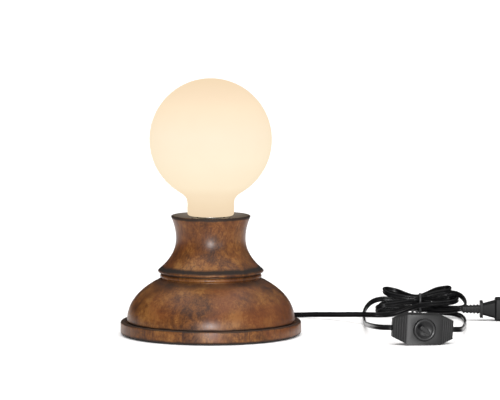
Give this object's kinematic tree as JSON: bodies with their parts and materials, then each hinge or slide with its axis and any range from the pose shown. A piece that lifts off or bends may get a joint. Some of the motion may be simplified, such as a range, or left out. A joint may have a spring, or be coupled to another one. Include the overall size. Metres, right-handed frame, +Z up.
{
  "type": "bare bulb table lamp",
  "caption": "Turned wooden table lamp with a dished neck, an opal globe screw bulb, and a flat black cord carrying an inline rotary dimmer, a tied hank and a two-pin plug.",
  "frame": {"origin": "centre of the base's underside, on the surface that the lamp stands on", "axes": "+Z up along the turned base's axis; -Y towards the front, where the dimmer's knob looks; +X towards the dimmer and the plug"},
  "size_m": [0.4225, 0.2599, 0.2668],
  "materials": {
    "wood": "stained brown with dark glaze in the grooves, satin lacquer",
    "pad": "matt black self-adhesive pad",
    "steel": "zinc plated",
    "phenolic": "moulded black phenolic",
    "brass": "plain",
    "opal_glass": "opal, lit from inside, warm white",
    "cap_metal": "drawn, bright",
    "black_glass": "black, glossy",
    "solder": "tinned",
    "clear_glass": "clear, fire polished",
    "wire": "nickel wire",
    "filament": "tungsten, glowing",
    "cord_pvc": "black extruded sheath with a soft sheen",
    "core_pvc": "smooth insulation",
    "tie": "flat plastic over wire",
    "dimmer_plastic": "moulded, fine spark texture",
    "knob_plastic": "moulded, smoother than the case",
    "shaft_metal": "turned",
    "board": "green laminate",
    "component": "moulded",
    "plug_plastic": "moulded, fine spark texture",
    "blade_metal": "nickel plated"
  },
  "bodies": {
    "lamp": {"turned_neck": "wood", "turned_dome": "wood", "base_plinth": "wood", "base_pad": "pad", "base_screws": "steel", "bottom_washer": "steel", "bottom_nut": "steel", "seat_washer": "steel", "seat_nut": "steel", "threaded_tube": "steel", "dimmer_screws": "steel", "socket_cup": "phenolic", "socket_sleeve": "phenolic", "socket_block": "phenolic", "terminal_screws": "brass", "screw_shell": "brass", "centre_contact": "brass", "inner_cord": "cord_pvc", "lamp_lead": "cord_pvc", "left_leg": "cord_pvc", "right_leg": "cord_pvc", "plug_tail": "cord_pvc", "cord_hank": "cord_pvc", "cord_bushing": "cord_pvc", "supply_cores": "core_pvc", "board_cores": "core_pvc", "cord_tie": "tie", "dimmer_front_shell": "dimmer_plastic", "dimmer_back_shell": "dimmer_plastic", "dimmer_board": "board", "potentiometer": "component", "triac": "component", "capacitor": "component", "plug_body": "plug_plastic", "narrow_blade": "blade_metal", "wide_blade": "blade_metal"},
    "bulb_contact": {"tip_contact": "solder"},
    "bulb": {"globe_glass": "opal_glass", "bulb_cap": "cap_metal", "cap_insulator": "black_glass", "glass_stem": "clear_glass", "feed_wires": "wire", "support_wires": "wire", "filament": "filament"},
    "knob": {"dimmer_knob": "knob_plastic", "knob_shaft": "shaft_metal"}
  },
  "joints": [
    {"name": "bulb_lift", "type": "slide", "parent": "lamp", "child": "bulb_contact", "axis": [0, 0, 1], "range_m": [0, 0.0182]},
    {"name": "bulb_turn", "type": "hinge", "parent": "bulb_contact", "child": "bulb", "pos_m": [0, 0, 0.11], "axis": [0, 0, 1], "range_deg": [0, 1800]},
    {"name": "knob_turn", "type": "hinge", "parent": "lamp", "child": "knob", "pos_m": [0.2166, -0.0778, 0.01596], "axis": [0.1392, -0.9903, 0], "range_deg": [-24, 276]}
  ],
  "couplings": [
    {"joint": "bulb_lift", "follows": "bulb_turn", "m_per_rad": 0.00057751}
  ]
}
